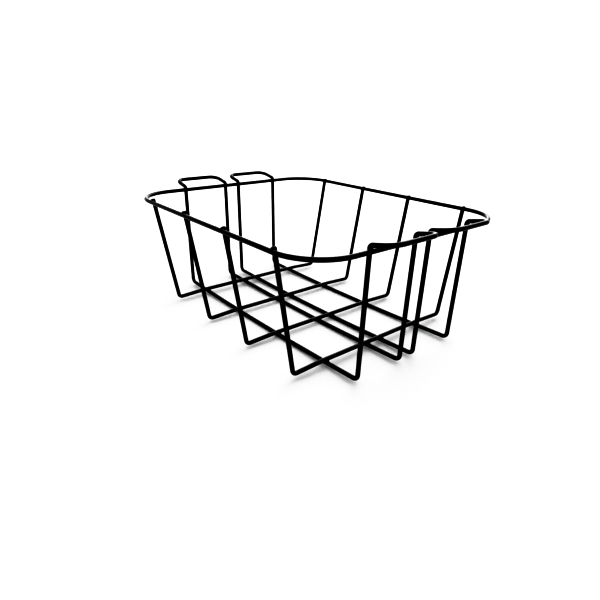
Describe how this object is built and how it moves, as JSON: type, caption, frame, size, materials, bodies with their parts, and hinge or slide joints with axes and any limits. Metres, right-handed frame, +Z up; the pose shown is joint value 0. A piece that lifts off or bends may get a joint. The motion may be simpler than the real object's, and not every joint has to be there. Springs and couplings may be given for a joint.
{
  "type": "hanging wire basket",
  "caption": "Black coated wire basket with a rounded rim, tapered open sides and wire hooks at both ends that hang it over the inner ledges of an ice chest.",
  "frame": {"origin": "on the floor under the middle of the basket", "axes": "+X along the basket's length towards one hooked end, +Y towards the rear long side, +Z up"},
  "size_m": [0.312, 0.229, 0.1171],
  "materials": {
    "black_coat": "satin black powder coat over steel wire"
  },
  "bodies": {
    "root": {"rim_ring": "black_coat", "cross_wire_1": "black_coat", "cross_wire_2": "black_coat", "cross_wire_3": "black_coat", "cross_wire_4": "black_coat", "hook_loop_front": "black_coat", "hook_loop_rear": "black_coat", "floor_welds": "black_coat", "side_rim_welds": "black_coat", "end_rim_welds": "black_coat"}
  },
  "joints": []
}
